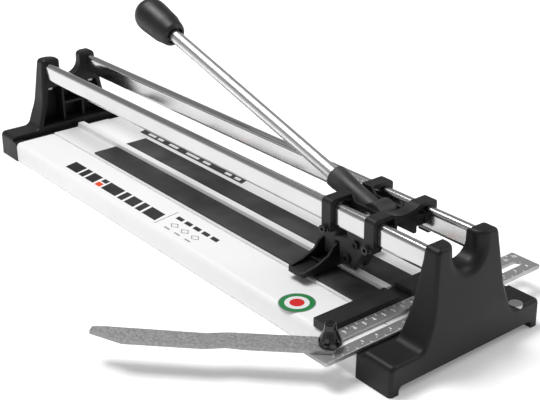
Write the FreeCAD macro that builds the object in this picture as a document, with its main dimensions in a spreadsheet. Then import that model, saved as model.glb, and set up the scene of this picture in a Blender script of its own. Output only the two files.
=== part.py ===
import FreeCAD, Part
import os
import Sketcher

# Rail-type tile cutter.  The origin lies on the ground, on the cutting line, half way
# along the machine.  +X points to the ruler end, +Z is up, and -Y is the side with the
# angle stop.

doc = FreeCAD.newDocument("TileCutter")
sheet = doc.addObject("Spreadsheet::Sheet", "Dimensions")
V = FreeCAD.Vector
NODES = []
CUT_EXTRA = 2.0


# ---------------------------------------------------------------- sizes in the sheet
class Size:
    """A length that carries its formula in the sheet and its present number."""

    def __init__(self, text, value):
        self.text = text
        self.value = float(value)

    def combine(self, other, sign, flip=False):
        other = as_size(other)
        first, second = (other, self) if flip else (self, other)
        numbers = {
            "+": first.value + second.value,
            "-": first.value - second.value,
            "*": first.value * second.value,
        }
        number = first.value / second.value if sign == "/" else numbers[sign]
        return Size("(%s %s %s)" % (first.text, sign, second.text), number)

    def __add__(self, other):
        return self.combine(other, "+")

    def __radd__(self, other):
        return self.combine(other, "+", True)

    def __sub__(self, other):
        return self.combine(other, "-")

    def __rsub__(self, other):
        return self.combine(other, "-", True)

    def __mul__(self, other):
        return self.combine(other, "*")

    def __rmul__(self, other):
        return self.combine(other, "*", True)

    def __truediv__(self, other):
        return self.combine(other, "/")

    def __neg__(self):
        return Size("(0 - %s)" % self.text, -self.value)


def as_size(amount):
    """Plain numbers join the formulas as they are."""
    return amount if isinstance(amount, Size) else Size("%.10g" % amount, amount)


def size(alias, value, note):
    """Writes one driving dimension, in millimetres, in the next row of the sheet."""
    row = 2 + len(size.rows)
    size.rows.append(alias)
    sheet.set("A%d" % row, note)
    sheet.set("B%d" % row, "%.10g" % value)
    sheet.setAlias("B%d" % row, alias)
    return Size("Dimensions." + alias, value)


size.rows = []


def bind(item, prop, amount):
    """Sets a property and ties it to the sheet."""
    amount = as_size(amount)
    if "Dimensions" in amount.text:
        item.setExpression(prop, amount.text)
    elif "." not in prop:
        setattr(item, prop, amount.value)
    else:
        item.setExpression(prop, amount.text)


# ---------------------------------------------------------------- sketch helpers
def new_sketch(body, role, offset):
    """A sketch on one of the body's own origin planes, moved along its normal."""
    sketch = body.newObject("Sketcher::SketchObject", "Sketch")
    plane = [item for item in body.Origin.OriginFeatures if item.Role == role][0]
    sketch.AttachmentSupport = (plane, [""])
    sketch.MapMode = "FlatFace"
    bind(sketch, "AttachmentOffset.Base.z", offset)
    return sketch


def hold(sketch, geo, end, x, y):
    """Dimensions one point of the sketch from the sketch's origin."""
    for kind, axis, amount in (("DistanceX", -2, as_size(x)), ("DistanceY", -1, as_size(y))):
        if amount.text == "0":
            sketch.addConstraint(Sketcher.Constraint("PointOnObject", geo, end, axis))
            continue
        rule = Sketcher.Constraint(kind, -1, 1, geo, end, amount.value)
        number = sketch.addConstraint(rule)
        if "Dimensions" in amount.text:
            sketch.setExpression("Constraints[%d]" % number, amount.text)


def hold_radius(sketch, geo, radius):
    radius = as_size(radius)
    number = sketch.addConstraint(Sketcher.Constraint("Radius", geo, radius.value))
    if "Dimensions" in radius.text:
        sketch.setExpression("Constraints[%d]" % number, radius.text)


def polygon(*corners):
    """A closed outline with straight sides."""

    def draw(sketch):
        first = sketch.GeometryCount
        count = len(corners)
        points = [V(as_size(x).value, as_size(y).value, 0) for x, y in corners]
        for i in range(count):
            sketch.addGeometry(Part.LineSegment(points[i], points[(i + 1) % count]), False)
        for i in range(count):
            after = first + (i + 1) % count
            sketch.addConstraint(Sketcher.Constraint("Coincident", first + i, 2, after, 1))
            hold(sketch, first + i, 1, *corners[i])

    return draw


def rectangle(x0, x1, y0, y1):
    return polygon((x0, y0), (x1, y0), (x1, y1), (x0, y1))


def circle(x, y, radius):
    def draw(sketch):
        centre = V(as_size(x).value, as_size(y).value, 0)
        ring = Part.Circle(centre, V(0, 0, 1), as_size(radius).value)
        geo = sketch.addGeometry(ring, False)
        hold(sketch, geo, 3, x, y)
        hold_radius(sketch, geo, radius)

    return draw


def oval(x, low, high, radius):
    """An upright slot shape: two half circles centred at low and high, and two sides."""

    def draw(sketch):
        first = sketch.GeometryCount
        middle, top, bottom, round_by = [as_size(n).value for n in (x, high, low, radius)]
        pi = 3.141592653589793
        for centre, start in ((top, 0), (bottom, pi)):
            ring = Part.Circle(V(middle, centre, 0), V(0, 0, 1), round_by)
            sketch.addGeometry(Part.ArcOfCircle(ring, start, start + pi), False)
        for side, begin, end in ((-round_by, top, bottom), (round_by, bottom, top)):
            line = Part.LineSegment(V(middle + side, begin, 0), V(middle + side, end, 0))
            sketch.addGeometry(line, False)
        for one, its_end, other, other_end in ((0, 2, 2, 1), (2, 2, 1, 1), (1, 2, 3, 1), (3, 2, 0, 1)):
            sketch.addConstraint(
                Sketcher.Constraint("Tangent", first + one, its_end, first + other, other_end)
            )
        hold(sketch, first, 3, x, high)
        hold(sketch, first + 1, 3, x, low)
        hold_radius(sketch, first, radius)

    return draw


def mirrored(corners):
    """Completes an outline given for the right half, from the bottom middle upwards."""
    return polygon(*(list(corners) + [(-as_size(x), z) for x, z in reversed(corners)]))


# ---------------------------------------------------------------- solid helpers
def new_body(label):
    body = doc.addObject("PartDesign::Body", label.title().replace("_", ""))
    body.Label = label
    return body


def extrude(body, kind, role, low, high, *loops):
    """Pads or pockets outlines between two places along the normal axis of a plane."""
    low, high = as_size(low), as_size(high)
    against = role == "XZ_Plane"
    if kind == "Pad":
        offset = -high if against else low
    else:
        offset = -low if against else high
    sketch = new_sketch(body, role, offset)
    for draw in loops:
        draw(sketch)
    feature = body.newObject("PartDesign::" + kind, kind)
    feature.Profile = sketch
    bind(feature, "Length", high - low)
    body.Tip = feature
    return feature


def pad(body, role, low, high, *loops):
    return extrude(body, "Pad", role, low, high, *loops)


def pocket(body, role, low, high, *loops):
    return extrude(body, "Pocket", role, low, high, *loops)


def turned(label, axis, *corners):
    """A body turned about its own X, Y or Z axis; corners are (along, radius)."""
    body = new_body(label)
    role, reference, swap = {
        "Z": ("XZ_Plane", "V_Axis", True),
        "Y": ("XY_Plane", "V_Axis", True),
        "X": ("XY_Plane", "H_Axis", False),
    }[axis]
    sketch = new_sketch(body, role, 0)
    polygon(*[(r, along) if swap else (along, r) for along, r in corners])(sketch)
    feature = body.newObject("PartDesign::Revolution", "Revolution")
    feature.Profile = sketch
    feature.ReferenceAxis = (sketch, [reference])
    feature.Angle = 360
    body.Tip = feature
    return body


def round_edges(body, radius, chosen, kind="Fillet"):
    """Fillets or chamfers the edges that the rule picks."""
    doc.recompute()
    edges = [
        "Edge%d" % (i + 1) for i, edge in enumerate(body.Shape.Edges) if chosen(edge)
    ]
    before = body.Tip
    feature = body.newObject("PartDesign::" + kind, kind)
    feature.Base = (before, edges)
    bind(feature, "Radius" if kind == "Fillet" else "Size", radius)
    body.Tip = feature
    return feature


def middle_of(edge):
    return edge.CenterOfMass


def runs_along(edge, axis):
    """True for a straight edge parallel to the axis."""
    if len(edge.Vertexes) != 2 or edge.Curve.TypeId != "Part::GeomLine":
        return False
    return abs(abs(edge.Curve.Direction.dot(axis)) - 1) < 1e-6


ALONG_X, ALONG_Y, ALONG_Z = V(1, 0, 0), V(0, 1, 0), V(0, 0, 1)


def place(item, x, y, z, axis=None, angle=0):
    """Moves an object to a point tied to the sheet, turned about an axis if needed."""
    item.Placement = FreeCAD.Placement(V(), FreeCAD.Rotation(axis or ALONG_Z, 0))
    if axis is not None:
        angle = as_size(angle)
        item.Placement = FreeCAD.Placement(V(), FreeCAD.Rotation(axis, angle.value))
        if "Dimensions" in angle.text:
            item.setExpression("Placement.Rotation.Angle", angle.text)
    for letter, amount in zip("xyz", (x, y, z)):
        bind(item, "Placement.Base." + letter, amount)
    return item


def rod(axis, a, b, low, high, radius, tip_radius=None, sides=0):
    """A round, conical or hexagonal bar along an axis; a and b place it across."""
    low, high = as_size(low), as_size(high)
    if sides:
        item = doc.addObject("Part::Prism", "Prism")
        item.Polygon = sides
        bind(item, "Circumradius", radius)
    elif tip_radius is None:
        item = doc.addObject("Part::Cylinder", "Cylinder")
        bind(item, "Radius", radius)
    else:
        item = doc.addObject("Part::Cone", "Cone")
        bind(item, "Radius1", radius)
        bind(item, "Radius2", tip_radius)
    bind(item, "Height", high - low)
    if axis == "Z":
        return place(item, a, b, low)
    if axis == "Y":
        return place(item, a, low, b, ALONG_X, -90)
    return place(item, low, a, b, ALONG_Y, 90)


def block(x0, x1, y0, y1, z0, z1):
    item = doc.addObject("Part::Box", "Box")
    x0, y0, z0 = as_size(x0), as_size(y0), as_size(z0)
    bind(item, "Length", x1 - x0)
    bind(item, "Width", y1 - y0)
    bind(item, "Height", z1 - z0)
    return place(item, x0, y0, z0)


def fuse(*shapes):
    if len(shapes) == 1:
        return shapes[0]
    item = doc.addObject("Part::MultiFuse", "Fusion")
    item.Shapes = list(shapes)
    return item


def cut(base, *tools):
    item = doc.addObject("Part::Cut", "Cut")
    item.Base = base
    item.Tool = fuse(*tools)
    return item


def gather(shapes):
    item = doc.addObject("Part::Compound", "Compound")
    item.Links = list(shapes)
    return item


def node(label, item):
    """Names the object that goes out as one sub-part."""
    if item.Label != label:
        for other in doc.Objects:
            if other.Label == label:
                other.Label = label + "_blank"
        item.Label = label
    NODES.append(item)
    return item


def screw(axis, a, b, start, way, head, shank, length, recess=None, cone=False):
    """A screw along an axis.  It starts at its head's outer face and points the way
    given, +1 or -1.  head is (radius, height).  Returns the screw and a plain copy of
    its outside that bores the pieces it goes through."""
    start = as_size(start)
    radius, height = head

    def span(begin, end, first_radius, last_radius=None, sides=0):
        low, high = (start + begin, start + end) if way > 0 else (start - end, start - begin)
        if last_radius is not None and way < 0:
            first_radius, last_radius = last_radius, first_radius
        return rod(axis, a, b, low, high, first_radius, last_radius, sides)

    top = span(0, height, radius, shank if cone else None)
    plain = fuse(top, span(height, length, shank))
    if recess is None:
        return plain, plain
    return cut(plain, span(0, recess[1], recess[0], None, 6)), plain


def screw_set(label, screws):
    """One node for a set of like screws, and the tool that bores their holes."""
    made = [item[0] for item in screws]
    plain = [item[1] for item in screws]
    node(label, gather(made))
    return plain


# ---------------------------------------------------------------- driving dimensions
base_half = size("base_half_length", 269, "half length of the aluminium base profile")
base_wide = size("base_half_width", 79.5, "half width of the base profile")
base_low = size("base_underside", 1, "height of the base's underside over the ground")
base_top = size("base_top", 20.5, "height of the outer decks")
wall = size("base_wall", 2.5, "wall of the base profile")
deck_top = size("middle_deck_top", 21.5, "height of the middle deck")
deck_half = size("middle_deck_half", 34, "half width of the middle deck")
ridge_top = size("ridge_top", 26, "height of the breaking ridge")
ridge_half = size("ridge_half", 3.4, "half width of the ridge's crown")
ridge_foot = size("ridge_foot_half", 4.6, "half width of the ridge's foot")
box_half = size("box_cavity_start", 36, "where the side boxes' cavities start across")
rib_out = size("middle_rib_half", 10, "outer face of the two middle ribs")
floor_wall = size("box_floor", 2, "floor of the side boxes")
flat_start = size("milled_start", 219, "where the front end is milled flat")

bracket_deep = size("bracket_depth", 36, "length of an end bracket along the rails")
foot_high = size("foot_clearance", 0.4, "gap under the bracket's plastic feet")
foot_out = base_wide + 1
foot_half = foot_out - 8.5
arch_high = size("arch_height", 7, "height of the arch between the feet")
shoulder = size("shoulder_top", 25, "height of the shoulders")
ledge = size("ledge_depth", 5, "depth of the low ledge behind the shoulders")
tower_foot = size("tower_foot_half", 47, "half width at the towers' foot")
tower_waist = size("tower_waist_half", 38, "half width at the towers' waist")
waist_high = size("waist_height", 50, "height of the waist")
tower_half = size("tower_half", 31.8, "half width at the top")
tower_top = size("tower_top", 99, "height of the towers")
valley_half = size("valley_half", 12.5, "half width of the round valley between towers")
valley_low = size("valley_floor", 77, "lowest point of the valley")
front_lean = size("front_lean", 6, "how far the outer face leans back")
rear_foot = size("rear_face_foot", 28.5, "depth of the tower at its foot")
rear_mid = size("rear_face_middle", 24.5, "depth of the tower at half height")
rear_top = size("rear_face_top", 20.8, "depth of the tower at its top")
skin = size("bracket_wall", 4, "wall of the bracket moulding")
face_round = size("face_edge_round", 3.4, "round of the outer face's edges and the towers' backs")
valley_round = size("valley_edge_round", 10, "round where the valley meets the outer face")
recess_low = size("recess_floor", 28, "floor of the recess behind the towers")
tongue_long = size("tongue_length", 24, "length of the tongues inside the base")
tongue_top = size("tongue_top", 11.5, "top of the tongues")
pad_round = size("pad_radius", 3, "radius of the rubber foot pads")
pad_in = size("pad_depth", 3, "depth of the foot pads in the feet")

rail_off = size("rail_offset", 25, "rail's middle from the cutting line")
rail_round = size("rail_half_width", 4.5, "half width of the oval rail tube")
rail_low = size("rail_bottom", 75, "underside of the rails")
rail_tall = size("rail_height", 20, "height of the rail tube")
rail_wall = size("rail_wall", 1.5, "wall of the rail tube")
rail_sink = size("rail_end_depth", 8, "distance of the rail's end from the outer face")

strip_in = size("strip_start", 5, "inner edge of the rubber strips")
strip_out = size("strip_end", 31.5, "outer edge of the rubber strips")
strip_thick = size("strip_thickness", 2.1, "thickness of the rubber strips")
strip_rear = size("strip_rear", 186, "rear end of the strips from the middle")

fence_long = size("fence_length", 19, "length of the fence slab along the machine")
fence_tall = size("fence_height", 8, "height of the fence slab")
fence_half = base_wide - 0.5
groove_half = size("groove_half", 5, "half width of the wheel's run-out groove")
groove_deep = size("groove_depth", 4, "depth of the run-out groove")

ruler_thick = size("ruler_thickness", 3, "thickness of the ruler bar")
near_over = size("ruler_near_overhang", 29.5, "how far the ruler's near end passes the deck")
ruler_near = base_wide + near_over
far_over = size("ruler_far_overhang", 45.5, "how far the ruler's far end passes the deck")
ruler_far = base_wide + far_over
slot_half = size("slot_half_width", 4, "half width of the ruler's slot")
slot_near = ruler_near - 9
slot_far = ruler_far - 8

gap = size("running_gap", 0.3, "gap round sliding and swinging pieces")
fit = size("pivot_fit", 0.06, "radial clearance of pins and bolts that turn")

ruler_x = base_half - (base_half - flat_start - 1 - fence_long) / 2
slot_x = ruler_x + 0.5
bracket_x = base_half + bracket_deep
rail_high = rail_low + rail_tall
oval_low = rail_low + rail_round
oval_high = rail_high - rail_round


# ---------------------------------------------------------------- base profile
def make_base():
    """Extruded deck: two closed side boxes, two middle ribs and the breaking ridge."""
    body = new_body("base_profile")
    deck_under = base_top - 1.5
    step = deck_half + 1.5
    outline = [
        (rib_out - wall, deck_under),
        (rib_out - wall, base_low),
        (rib_out, base_low),
        (rib_out, deck_under),
        (box_half - 3, deck_under),
        (box_half - 3, base_low),
        (base_wide, base_low),
        (base_wide, base_top),
        (step, base_top),
        (step, base_top - 1),
        (deck_half, base_top - 1),
        (deck_half, deck_top),
        (ridge_foot, deck_top),
        (ridge_half, ridge_top),
    ]
    inner = [
        rectangle(low, high, base_low + floor_wall, base_top - wall)
        for low, high in (
            (box_half, base_wide - wall),
            (wall - base_wide, -box_half),
        )
    ]
    pad(body, "YZ_Plane", -base_half, base_half, mirrored(outline), *inner)
    corner = base_wide.value
    top = base_top.value
    round_edges(
        body,
        size("deck_corner", 5, "round of the deck's outer corners"),
        lambda edge: runs_along(edge, ALONG_X)
        and abs(abs(middle_of(edge).y) - corner) < 0.01
        and abs(middle_of(edge).z - top) < 0.01,
    )
    pocket(
        body,
        "XY_Plane",
        base_top,
        ridge_top + CUT_EXTRA,
        rectangle(flat_start, base_half + CUT_EXTRA, -step, step),
    )
    return body


# ---------------------------------------------------------------- end brackets
def make_bracket(label, side):
    """Moulded end bracket, drawn with its outer face at x = 0 and its depth to -x."""
    body = new_body(label)
    outline = [
        (foot_half, arch_high),
        (foot_half, foot_high),
        (foot_out, foot_high),
        (foot_out - 0.5, shoulder),
        (tower_foot, shoulder),
        (tower_waist, waist_high),
        (tower_half, tower_top),
    ]
    pad(body, "YZ_Plane", -bracket_deep, 0, mirrored(outline))
    high, low = tower_top.value, shoulder.value
    waist, foot = waist_high.value, tower_foot.value
    arch = arch_high.value

    def along_at(edge, z, y_from, y_to):
        point = middle_of(edge)
        return (
            runs_along(edge, ALONG_X)
            and abs(point.z - z) < 0.01
            and y_from <= abs(point.y) <= y_to
        )

    round_edges(body, 8, lambda edge: along_at(edge, low, foot - 1, foot + 1))
    round_edges(body, 60, lambda edge: along_at(edge, waist, 0, 100))
    round_edges(body, 5, lambda edge: along_at(edge, high, 0, 100))
    round_edges(body, 5, lambda edge: along_at(edge, low, foot + 20, 100))
    round_edges(body, 4, lambda edge: along_at(edge, arch, 0, 100))
    above = tower_top + CUT_EXTRA
    lean_start = shoulder + 11
    front = polygon(
        (CUT_EXTRA, lean_start),
        (0, lean_start),
        (-front_lean, tower_top),
        (-front_lean, above),
        (CUT_EXTRA, above),
    )
    behind = -bracket_deep - CUT_EXTRA
    rear = polygon(
        (behind, base_top),
        (-rear_foot, base_top),
        (-rear_foot, base_top + 5.5),
        (-rear_mid, 55),
        (-rear_top, 88),
        (-rear_top, above),
        (behind, above),
    )
    reach = foot_out + CUT_EXTRA
    pocket(body, "XZ_Plane", -reach, reach, front)
    pocket(body, "XZ_Plane", -reach, reach, rear)
    valley = oval(0, valley_low + valley_half, tower_top + valley_half + CUT_EXTRA, valley_half)
    pocket(body, "YZ_Plane", -bracket_deep, CUT_EXTRA, valley)

    # The valley runs out to the face in a wide round, and the face's whole edge and the
    # towers' backs are rounded.
    lean_depth = front_lean.value + 0.01

    def borders_flat(edge, way):
        """True where exactly one flat face beside the edge looks along +X or -X."""
        flats = [
            face
            for face in body.Shape.ancestorsOfType(edge, Part.Face)
            if face.Surface.TypeId == "Part::GeomPlane" and face.normalAt(0, 0).x * way > 0.9
        ]
        return len(flats) == 1

    def on_outer_face(edge):
        box = edge.BoundBox
        return box.XMin > -lean_depth and box.ZMin > low - 6 and borders_flat(edge, 1)

    def in_valley(edge):
        point = middle_of(edge)
        return on_outer_face(edge) and abs(point.y) < 1 and point.z > waist

    def on_tower_back(edge):
        point = middle_of(edge)
        outside = abs(point.y) > valley_half.value + 0.5 and point.z > low + 1.5
        return outside and point.x > -rear_foot.value - 0.5 and borders_flat(edge, -1)

    doc.recompute()
    backs = [middle_of(edge) for edge in body.Shape.Edges if on_tower_back(edge)]

    def is_kept_back(edge):
        """The towers' outer back edges, and not the rims of the recess cut after them."""
        return any(middle_of(edge).distanceToPoint(point) < 0.5 for point in backs)

    # Hollow under the shoulders, recess behind the towers, and the ribs in it.
    pocket(
        body,
        "XY_Plane",
        -CUT_EXTRA,
        base_top + 1,
        rectangle(-bracket_deep + 3, -skin, skin - foot_half - 1, foot_half + 1 - skin),
    )
    recess_high = rail_low - 7
    recess = mirrored(
        [
            (tower_foot - skin - 1, recess_low),
            (tower_waist - skin, waist_high),
            (tower_half - skin + 1.5, recess_high),
        ]
    )
    pocket(body, "YZ_Plane", -bracket_deep - CUT_EXTRA, -2 - skin, recess)
    bars = [
        (rectangle(-13, -10.5, recess_low, recess_high),),
        (rectangle(10.5, 13, recess_low, recess_high),),
        (rectangle(-10.5, 10.5, waist_high - 4, waist_high - 1.5),),
    ]
    for bar in bars:
        pad(body, "YZ_Plane", -rear_top - 1, -2 - skin, *bar)
    round_edges(body, valley_round, in_valley)
    round_edges(body, face_round, lambda edge: on_outer_face(edge) or is_kept_back(edge))

    # Rail sockets and the tongues that enter the base.
    for way in (-1, 1):
        rail = oval(rail_off * way, oval_low, oval_high, rail_round)
        pocket(body, "YZ_Plane", -bracket_deep - CUT_EXTRA, -rail_sink, rail)
    for near, far in ((box_half + 3.5, base_wide - wall - 1.5), (wall + 1.5 - base_wide, -box_half - 3.5)):
        pad(
            body,
            "YZ_Plane",
            -bracket_deep - tongue_long,
            -bracket_deep + 3,
            rectangle(near, far, base_low + floor_wall, tongue_top),
        )
    if side > 0:
        return place(body, bracket_x, 0, 0)
    return place(body, -bracket_x, 0, 0, ALONG_Z, 180)


def foot_places():
    """Middles of the four rubber pads, one in each bracket foot."""
    across = (foot_half + foot_out) / 2
    along = base_half + bracket_deep / 2
    return [(along * i, across * j) for i in (-1, 1) for j in (-1, 1)]


base_blank = make_base()
brackets = {1: make_bracket("front_bracket", 1), -1: make_bracket("rear_bracket", -1)}

pads = [rod("Z", x, y, 0, foot_high + pad_in, pad_round) for x, y in foot_places()]
node("foot_pads", gather(pads))

tongue_screws = []
for end in (-1, 1):
    for across in (-68, -47, 47, 68):
        tongue_screws.append(
            screw("Z", (base_half - tongue_long / 2) * end, across, base_low, 1,
                  (3.6, 1.8), 1.75, 9.5, (1.4, 1.2), cone=True)
        )
tongue_holes = screw_set("bracket_screws", tongue_screws)

# Steel plugs fill the rail ends and take the screws that come up through the towers.
plug_long = size("plug_length", 16, "length of the steel plugs in the rail ends")
plug_x = bracket_x - rail_sink
screw_x = bracket_x - 17
plugs, rail_screws = [], []
for end in (-1, 1):
    for side in (-1, 1):
        plug = new_body("rail_plug")
        inner = oval(rail_off * side, oval_low, oval_high, rail_round - rail_wall)
        ends = (plug_x - plug_long, plug_x) if end > 0 else (-plug_x, plug_long - plug_x)
        pad(plug, "YZ_Plane", ends[0], ends[1], inner)
        plugs.append(plug)
        rail_screws.append(
            screw("Z", screw_x * end, rail_off * side, rail_low - 7 - 3, 1,
                  (3.5, 3), 2, 19, (1.7, 1.8))
        )
rail_holes = screw_set("rail_screws", rail_screws)
node("rail_plugs", cut(gather(plugs), *rail_holes))

for side, label in ((-1, "near_rail"), (1, "far_rail")):
    rail = new_body(label)
    middle = rail_off * side
    pad(
        rail,
        "YZ_Plane",
        -plug_x,
        plug_x,
        oval(middle, oval_low, oval_high, rail_round),
        oval(middle, oval_low, oval_high, rail_round - rail_wall),
    )
    node(label, cut(rail, *rail_holes))

# ---------------------------------------------------------------- rubber strips
strip_cover = deck_top + strip_thick
strip = new_body("centre_strip")
lip = rib_out - wall
pad(
    strip,
    "YZ_Plane",
    -base_half,
    base_half,
    mirrored([(rib_out, 0), (rib_out, base_low), (lip, base_low), (lip, base_low + 3)]),
)
node("centre_strip", strip)
for side, label in ((-1, "near_strip"), (1, "far_strip")):
    mat = new_body(label)
    inner, outer = (strip_in, strip_out) if side > 0 else (-strip_out, -strip_in)
    pad(
        mat,
        "XY_Plane",
        deck_top,
        strip_cover,
        rectangle(-strip_rear, flat_start, inner, outer),
    )
    node(label, mat)

# ---------------------------------------------------------------- fence and ruler
fence_start = flat_start + 1
fence_end = fence_start + fence_long
fence_top = base_top + fence_tall
fence = new_body("fence_slab")
pad(
    fence,
    "YZ_Plane",
    fence_start,
    fence_end,
    mirrored(
        [
            (fence_half, base_top),
            (fence_half, fence_top),
            (groove_half + 1.5, fence_top),
            (groove_half, fence_top - groove_deep),
        ]
    ),
)
round_edges(
    fence,
    1,
    lambda edge: abs(middle_of(edge).z - fence_top.value) < 0.01
    and abs(abs(middle_of(edge).y) - groove_half.value) > 4,
)
under_deck = base_top - wall
fence_x = (fence_start + fence_end) / 2
fence_screws, ruler_screws = [], []
for across in (-24, 24):
    fence_screws.append(
        screw("Z", fence_x, across, under_deck - 1.5, 1, (3.5, 2.5), 2, 8, (1.7, 1.5))
    )
for across in (-14, 14):
    ruler_screws.append(
        screw("Z", ruler_x + 8, across, under_deck - 1.5, 1, (2.8, 2.5), 1.5, 6.2, (1.4, 1.5))
    )
fence_holes = screw_set("fence_screws", fence_screws)
ruler_holes = screw_set("ruler_screws", ruler_screws)
node("fence_slab", cut(fence, *fence_holes))

ruler_top = base_top + ruler_thick
ruler = new_body("ruler_bar")
pad(
    ruler,
    "XY_Plane",
    base_top,
    ruler_top,
    rectangle(fence_end, base_half, -ruler_near, ruler_far),
    oval(slot_x, slot_half - slot_near, slot_far - slot_half, slot_half),
)
round_edges(
    ruler,
    1.5,
    lambda edge: runs_along(edge, ALONG_Z)
    and abs(middle_of(edge).y) > slot_far.value + 1
    or runs_along(edge, ALONG_Z)
    and middle_of(edge).y < -slot_near.value - 1,
)
stud_y = size("stud_place", -7, "place of the screw that shows in the slot")
stud_set = [
    screw("Z", slot_x, stud_y, ruler_top + 2, -1, (3.4, 2), 2.4, 9, (2, 1.2))
]
stud_holes = screw_set("ruler_stud", stud_set)
node("ruler_bar", cut(ruler, *ruler_holes))

# A pale stud is set in the far shoulder's outer corner.
stud_round = size("shoulder_stud_radius", 5.5, "radius of the stud in the far shoulder")
stud_deep = size("shoulder_stud_depth", 6, "depth of the stud in the shoulder")
shoulder_stud = rod(
    "Z", bracket_x - stud_round - 0.2, 58, shoulder - stud_deep, shoulder + 0.4, stud_round
)
node("shoulder_stud", shoulder_stud)

base_tools = tongue_holes + fence_holes + ruler_holes + stud_holes
node("base_profile", cut(base_blank, *base_tools))
for side, label in ((1, "front_bracket"), (-1, "rear_bracket")):
    tools = [tongue_holes[i] for i in range(8) if (i > 3) == (side > 0)]
    tools += [rail_holes[i] for i in range(4) if (i > 1) == (side > 0)]
    tools += [pads[i] for i in range(4) if (i > 1) == (side > 0)]
    if side > 0:
        tools.append(shoulder_stud)
    node(label, cut(brackets[side], *tools))

# ---------------------------------------------------------------- carriage
rear_claw = size("rear_claw_start", 176, "rear end of the carriage")
claw_long = size("claw_length", 10.5, "length of each claw along the rail")
front_claw = size("front_claw_end", 235, "front end of the carriage")
claw_out = size("claw_outer_face", 33.5, "outer face of the claws")
claw_low = size("claw_bottom", 71.8, "underside of the claws")
plate_in = size("side_plate_inner", 9, "inner face of the side plates")
plate_out = size("side_plate_outer", 12, "outer face of the side plates")
plate_low = size("side_plate_low", 76, "underside of the side plates")
plate_top = size("side_plate_top", 93, "top of the side plates between the claws")
saddle_top = size("saddle_top", 95.2, "lowest point of the dip between the front claws")
saddle_round = size("saddle_round", 32, "radius of that dip")
pivot_x = size("pivot_x", 207, "lever pivot along the machine")
pivot_z = size("pivot_height", 85, "height of the lever pivot")
pin_round = size("pivot_pin_radius", 4, "radius of the pivot pin")

carriage_top = tower_top
claws = (
    (rear_claw, rear_claw + claw_long),
    (front_claw - claw_long, front_claw),
)


def make_carriage():
    """Cast slider: two side plates and four claws that wrap the rails."""
    body = new_body("carriage_frame")
    first, second = claws
    outline = polygon(
        (first[0], plate_low + 4),
        (first[0] + 4, plate_low),
        (second[1] - 4, plate_low),
        (second[1], plate_low + 4),
        (second[1], carriage_top),
        (second[0], carriage_top),
        (second[0] - 4, plate_top),
        (first[1] + 4, plate_top),
        (first[1], carriage_top),
        (first[0], carriage_top),
    )
    over_rail = oval_high + rail_round + gap
    pad(body, "XZ_Plane", -plate_out, plate_out, outline)
    for near, far in claws:
        for way in (-1, 1):
            inner, outer = (plate_in, claw_out) if way > 0 else (-claw_out, -plate_in)
            pad(body, "XY_Plane", claw_low, carriage_top, rectangle(near, far, inner, outer))
    top_line = carriage_top.value
    outer_line = claw_out.value
    low_line = claw_low.value
    round_edges(
        body,
        4,
        lambda edge: runs_along(edge, ALONG_X)
        and abs(abs(middle_of(edge).y) - outer_line) < 0.01
        and abs(middle_of(edge).z - top_line) < 0.01,
    )
    round_edges(
        body,
        1,
        lambda edge: runs_along(edge, ALONG_X)
        and abs(abs(middle_of(edge).y) - outer_line) < 0.01
        and abs(middle_of(edge).z - low_line) < 0.01,
    )
    for way in (-1, 1):
        space = oval(rail_off * way, oval_low, oval_high, rail_round + gap)
        pocket(body, "YZ_Plane", rear_claw - CUT_EXTRA, front_claw + CUT_EXTRA, space)
        inner, outer = (plate_out, rail_off) if way > 0 else (-rail_off, -plate_out)
        gap_beside = rectangle(inner, outer, claw_low - CUT_EXTRA, over_rail)
        pocket(body, "YZ_Plane", rear_claw - CUT_EXTRA, front_claw + CUT_EXTRA, gap_beside)
        low_gap = (plate_in, plate_out) if way > 0 else (-plate_out, -plate_in)
        under = rectangle(low_gap[0], low_gap[1], claw_low - CUT_EXTRA, plate_low)
        pocket(body, "YZ_Plane", rear_claw - CUT_EXTRA, front_claw + CUT_EXTRA, under)
    middle = rectangle(rear_claw - CUT_EXTRA, second[0], -plate_in, plate_in)
    pocket(body, "XY_Plane", plate_low - CUT_EXTRA, carriage_top + CUT_EXTRA, middle)
    ahead = rectangle(second[0] - CUT_EXTRA, second[1] + CUT_EXTRA, -plate_in, plate_in)
    pocket(body, "XY_Plane", plate_low - CUT_EXTRA, saddle_top - 5.5, ahead)
    dip = circle(0, saddle_top + saddle_round, saddle_round)
    pocket(body, "YZ_Plane", second[0] - CUT_EXTRA, second[1] + CUT_EXTRA, dip)
    return body


claw_screws = []
for (near, far) in claws:
    for way in (-1, 1):
        for along, head, shank in ((near + 3.6, (3.5, 2.8), 1.2), (far - 2.6, (1.6, 1.4), 0.9)):
            claw_screws.append(
                screw("Y", along, claw_low + 1.45, (claw_out + head[1]) * way, -way,
                      head, shank, head[1] + 6, (head[0] * 0.5, head[1] * 0.6))
            )
claw_holes = screw_set("claw_screws", claw_screws)
carriage_blank = make_carriage()
pin_end = plate_out + 2.6
clip_in = plate_out + 0.8
pivot_pin = turned(
    "pivot_pin",
    "Y",
    (-pin_end, 0),
    (pin_end, 0),
    (pin_end, pin_round),
    (clip_in + 0.9, pin_round),
    (clip_in + 0.9, pin_round - 0.6),
    (clip_in, pin_round - 0.6),
    (clip_in, pin_round),
    (-clip_in, pin_round),
    (-clip_in, pin_round - 0.6),
    (-clip_in - 0.9, pin_round - 0.6),
    (-clip_in - 0.9, pin_round),
    (-pin_end, pin_round),
)
place(pivot_pin, pivot_x, 0, pivot_z)
node("pivot_pin", pivot_pin)
clips = []
for low in (clip_in, -clip_in - 0.9):
    ring = rod("Y", pivot_x, pivot_z, low, low + 0.9, pin_round + 1.6)
    bore = rod("Y", pivot_x, pivot_z, low, low + 0.9, pin_round - 0.6)
    clips.append(cut(ring, bore))
node("pivot_clips", gather(clips))
pin_hole = rod("Y", pivot_x, pivot_z, -plate_out - 1, plate_out + 1, pin_round)
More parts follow.
